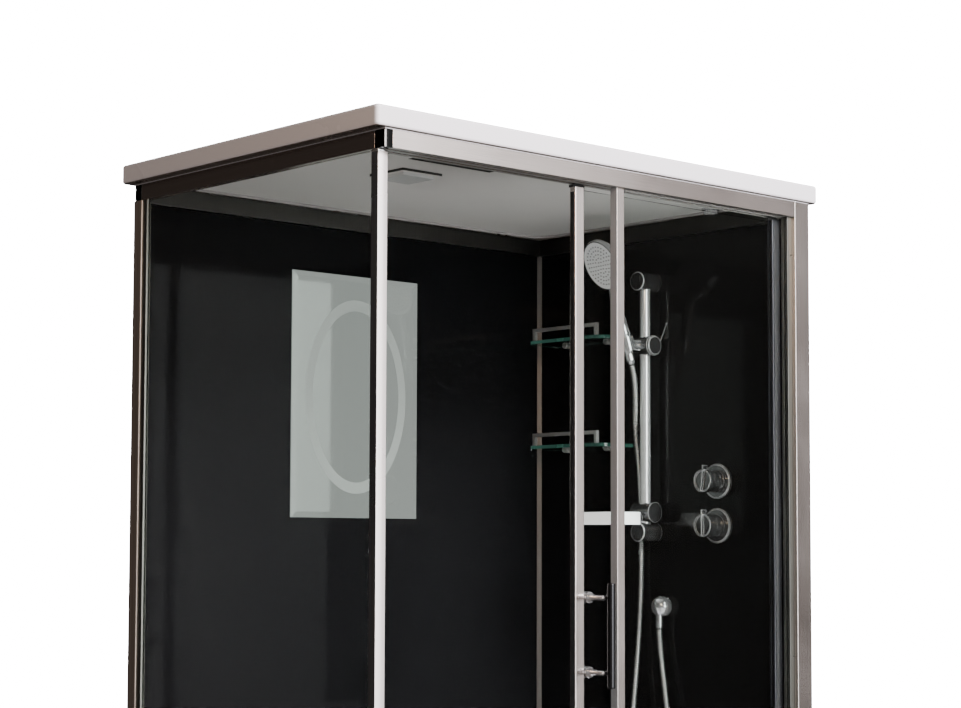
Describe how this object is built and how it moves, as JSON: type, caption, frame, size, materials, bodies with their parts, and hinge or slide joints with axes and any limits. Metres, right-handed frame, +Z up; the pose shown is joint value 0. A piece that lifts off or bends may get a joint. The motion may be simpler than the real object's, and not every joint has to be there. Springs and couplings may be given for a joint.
{
  "type": "shower cabin",
  "caption": "Enclosed shower cabin with a sliding glass door, black wall panels, tray and roof, slide-rail hand shower, soap dish, valves, shelves and a bevelled mirror.",
  "frame": {"origin": "on the floor, under the middle of the cabin's outline with its door handle", "axes": "+Z up, +X along the door front from the door side to the wet wall, +Y from the door front to the rear wall"},
  "size_m": [1.248, 0.8715, 2.152],
  "materials": {
    "white_acrylic": "glossy white moulding",
    "ceiling_plastic": "fine satin",
    "lamp_plastic": "clear and milky",
    "galvanised_steel": "zinc coated",
    "pipe_plastic": "plain",
    "satin_aluminium": "satin anodised",
    "grey_aluminium": "satin anodised, dark grey",
    "black_plastic": "glossy",
    "hanger_plastic": "satin",
    "clear_glass": "clear toughened",
    "shelf_green_glass": "clear, with green edges",
    "black_glass": "glossy, painted at the back",
    "silver_mirror": "silvered, with a bevel and an etched oval",
    "chrome": "polished",
    "plated_plastic": "chrome plated",
    "spray_face": "satin grey",
    "hose_steel": "wound strip, satin",
    "dish_plastic": "translucent",
    "brass": "cast",
    "fan_plastic": "satin",
    "seal_rubber": "translucent grey",
    "roller_plastic": "satin"
  },
  "bodies": {
    "cabin": {"shower_tray": "white_acrylic", "tray_apron": "white_acrylic", "tray_legs": "galvanised_steel", "waste_trap": "pipe_plastic", "waste_cover": "chrome", "bottom_rail_front": "satin_aluminium", "top_rail_front": "satin_aluminium", "side_rails": "satin_aluminium", "wall_base_profiles": "grey_aluminium", "wall_top_profiles": "grey_aluminium", "corner_connectors": "black_plastic", "corner_post": "satin_aluminium", "rear_left_post": "satin_aluminium", "glazing_profiles": "satin_aluminium", "side_glass": "clear_glass", "fixed_glass": "clear_glass", "fixed_stile": "satin_aluminium", "right_front_post": "satin_aluminium", "back_corner_profile": "grey_aluminium", "back_wall_panel": "black_glass", "right_wall_panel": "black_glass", "roof_cover": "white_acrylic", "ceiling_panel": "ceiling_plastic", "vent_grille": "ceiling_plastic", "fan_housing": "fan_plastic", "lamp_frame": "ceiling_plastic", "lamp_lens": "lamp_plastic", "ceiling_fitting": "plated_plastic", "wall_mirror": "silver_mirror", "shelf_glass": "shelf_green_glass", "shelf_rails": "chrome", "shelf_supports": "chrome", "slide_bar": "chrome", "bar_brackets": "chrome", "shower_hose": "hose_steel", "wall_elbow": "chrome", "mixer_valve": "brass", "valve_plates": "chrome"},
    "fan": {"fan_rotor": "fan_plastic"},
    "slider": {"slider_body": "plated_plastic"},
    "clamp_lever": {"slider_lever": "plated_plastic"},
    "hand_shower": {"handset_holder": "plated_plastic", "handset_body": "plated_plastic", "handset_face": "spray_face", "handset_nut": "plated_plastic"},
    "soap_holder": {"soap_slider": "plated_plastic", "soap_dish": "dish_plastic"},
    "upper_valve_knob": {"upper_knob": "chrome"},
    "lower_valve_knob": {"lower_knob": "chrome"},
    "door": {"door_glass": "clear_glass", "door_lead_stile": "satin_aluminium", "door_rear_stile": "satin_aluminium", "door_handle": "chrome", "handle_caps": "chrome", "door_seals": "seal_rubber", "roller_hangers": "hanger_plastic"},
    "top_lead_roller": {"top_roller_lead": "roller_plastic"},
    "top_rear_roller": {"top_roller_rear": "roller_plastic"},
    "bottom_lead_roller": {"bottom_roller_lead": "roller_plastic"},
    "bottom_rear_roller": {"bottom_roller_rear": "roller_plastic"}
  },
  "joints": [
    {"name": "door_slide", "type": "slide", "parent": "cabin", "child": "door", "axis": [1, 0, 0], "range_m": [-0.486, 0]},
    {"name": "top_lead_roller_turn", "type": "hinge", "parent": "door", "child": "top_lead_roller", "pos_m": [-0.075, -0.35925, 2.091], "axis": [0, 1, 0], "continuous": true},
    {"name": "top_rear_roller_turn", "type": "hinge", "parent": "door", "child": "top_rear_roller", "pos_m": [0.519, -0.35925, 2.091], "axis": [0, 1, 0], "continuous": true},
    {"name": "bottom_lead_roller_turn", "type": "hinge", "parent": "door", "child": "bottom_lead_roller", "pos_m": [-0.075, -0.35925, 0.164], "axis": [0, 1, 0], "continuous": true},
    {"name": "bottom_rear_roller_turn", "type": "hinge", "parent": "door", "child": "bottom_rear_roller", "pos_m": [0.519, -0.35925, 0.164], "axis": [0, 1, 0], "continuous": true},
    {"name": "fan_spin", "type": "hinge", "parent": "cabin", "child": "fan", "pos_m": [-0.27, -0.22825, 2.126], "axis": [0, 0, 1], "continuous": true},
    {"name": "upper_knob_turn", "type": "hinge", "parent": "cabin", "child": "upper_valve_knob", "pos_m": [0.55, -0.16625, 1.509], "axis": [1, 0, 0], "range_deg": [-90, 0]},
    {"name": "lower_knob_turn", "type": "hinge", "parent": "cabin", "child": "lower_valve_knob", "pos_m": [0.55, -0.16625, 1.41], "axis": [1, 0, 0], "range_deg": [-90, 0]},
    {"name": "slider_slide", "type": "slide", "parent": "cabin", "child": "slider", "axis": [0, 0, 1], "range_m": [-0.19, 0.05], "deforming": ["shower_hose"]},
    {"name": "lever_turn", "type": "hinge", "parent": "slider", "child": "clamp_lever", "pos_m": [0.527, 0.02575, 1.823], "axis": [0, 1, 0], "range_deg": [-60, 0]},
    {"name": "holder_tilt", "type": "hinge", "parent": "slider", "child": "hand_shower", "pos_m": [0.49, 0.02575, 1.823], "axis": [1, 0, 0], "range_deg": [-30, 20]},
    {"name": "soap_slide", "type": "slide", "parent": "cabin", "child": "soap_holder", "axis": [0, 0, 1], "range_m": [0, 0.14]}
  ],
  "couplings": [
    {"joint": "top_lead_roller_turn", "follows": "door_slide", "rad_per_m": 85.47},
    {"joint": "top_rear_roller_turn", "follows": "door_slide", "rad_per_m": 85.47},
    {"joint": "bottom_lead_roller_turn", "follows": "door_slide", "rad_per_m": 85.47},
    {"joint": "bottom_rear_roller_turn", "follows": "door_slide", "rad_per_m": 85.47}
  ]
}
